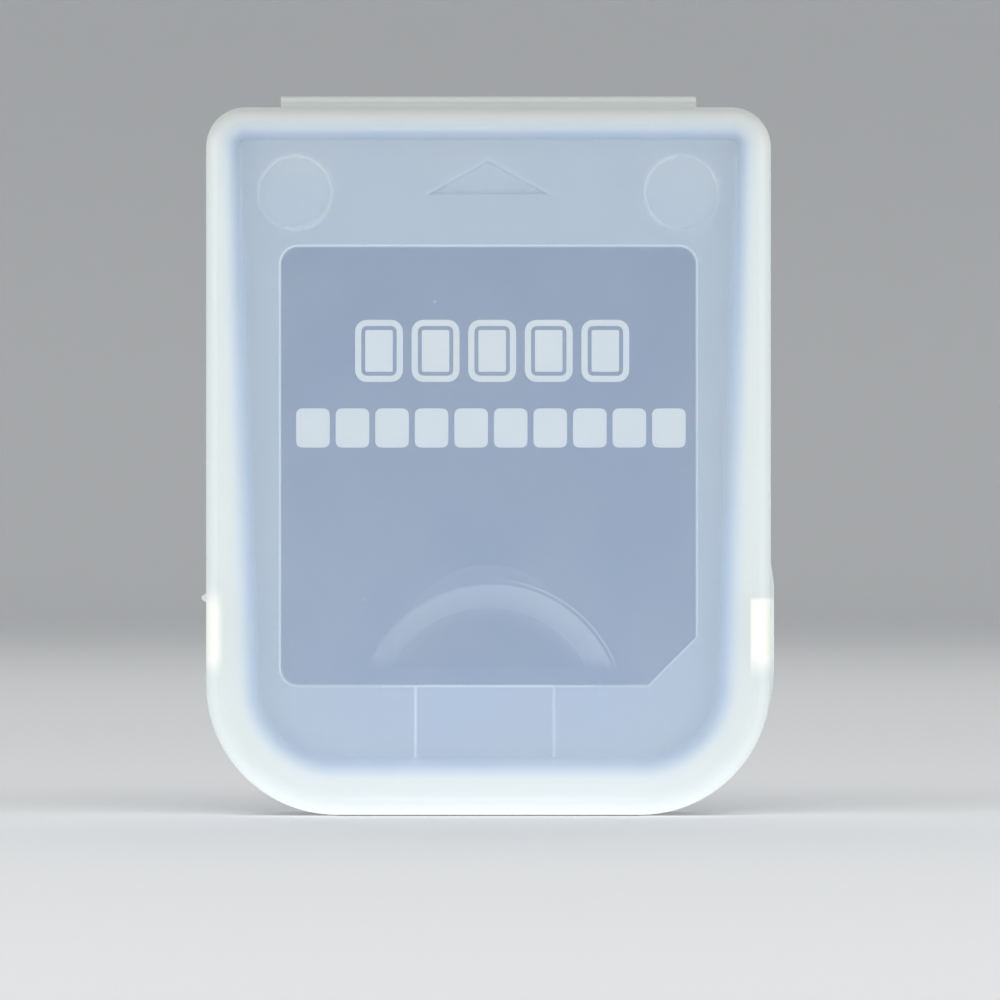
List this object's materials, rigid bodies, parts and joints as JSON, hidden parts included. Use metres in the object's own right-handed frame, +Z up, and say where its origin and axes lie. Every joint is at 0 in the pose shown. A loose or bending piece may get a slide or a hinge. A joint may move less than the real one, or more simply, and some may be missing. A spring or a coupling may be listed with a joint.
{
  "type": "console memory card in a hinged case",
  "caption": "Flat console memory card with a dished label, shut in a translucent frosted clamshell case with a living hinge along the top and snap catches at the sides.",
  "frame": {"origin": "On the floor under the middle of the closed case, which stands on its foot.", "axes": "+X is right, +Y is the back and +Z is up, with the hinge along the top edge. The lid faces -Y."},
  "size_m": [0.0463, 0.011, 0.058],
  "materials": {
    "case_plastic": "translucent frosted polypropylene",
    "card_plastic": "fine moulded grain",
    "label_film": "smooth printed film",
    "board_laminate": "solder mask",
    "chip_package": "moulded epoxy",
    "lead_tin": "tin plate",
    "contact_gold": "gold plate",
    "capacitor_ceramic": "bare ceramic",
    "resistor_ceramic": "coated ceramic",
    "screw_steel": "plain steel"
  },
  "bodies": {
    "base": {"case_base": "case_plastic", "card_front_shell": "card_plastic", "card_rear_shell": "card_plastic", "card_label": "label_film", "circuit_board": "board_laminate", "flash_chip": "chip_package", "flash_leads": "lead_tin", "controller_chip": "chip_package", "controller_leads": "lead_tin", "shell_screws": "screw_steel", "contact_01": "contact_gold", "contact_02": "contact_gold", "contact_03": "contact_gold", "contact_04": "contact_gold", "contact_05": "contact_gold", "contact_06": "contact_gold", "contact_07": "contact_gold", "contact_08": "contact_gold", "contact_09": "contact_gold", "contact_10": "contact_gold", "contact_11": "contact_gold", "contact_12": "contact_gold", "capacitor_1": "capacitor_ceramic", "capacitor_2": "capacitor_ceramic", "capacitor_3": "capacitor_ceramic", "capacitor_4": "capacitor_ceramic", "resistor_1": "resistor_ceramic", "resistor_2": "resistor_ceramic", "resistor_3": "resistor_ceramic", "resistor_4": "resistor_ceramic"},
    "lid": {"case_lid": "case_plastic"}
  },
  "joints": [
    {"name": "lid_hinge", "type": "hinge", "parent": "base", "child": "lid", "pos_m": [0, -0.00145, 0.0576], "axis": [-1, 0, 0], "range_deg": [0, 180]}
  ]
}
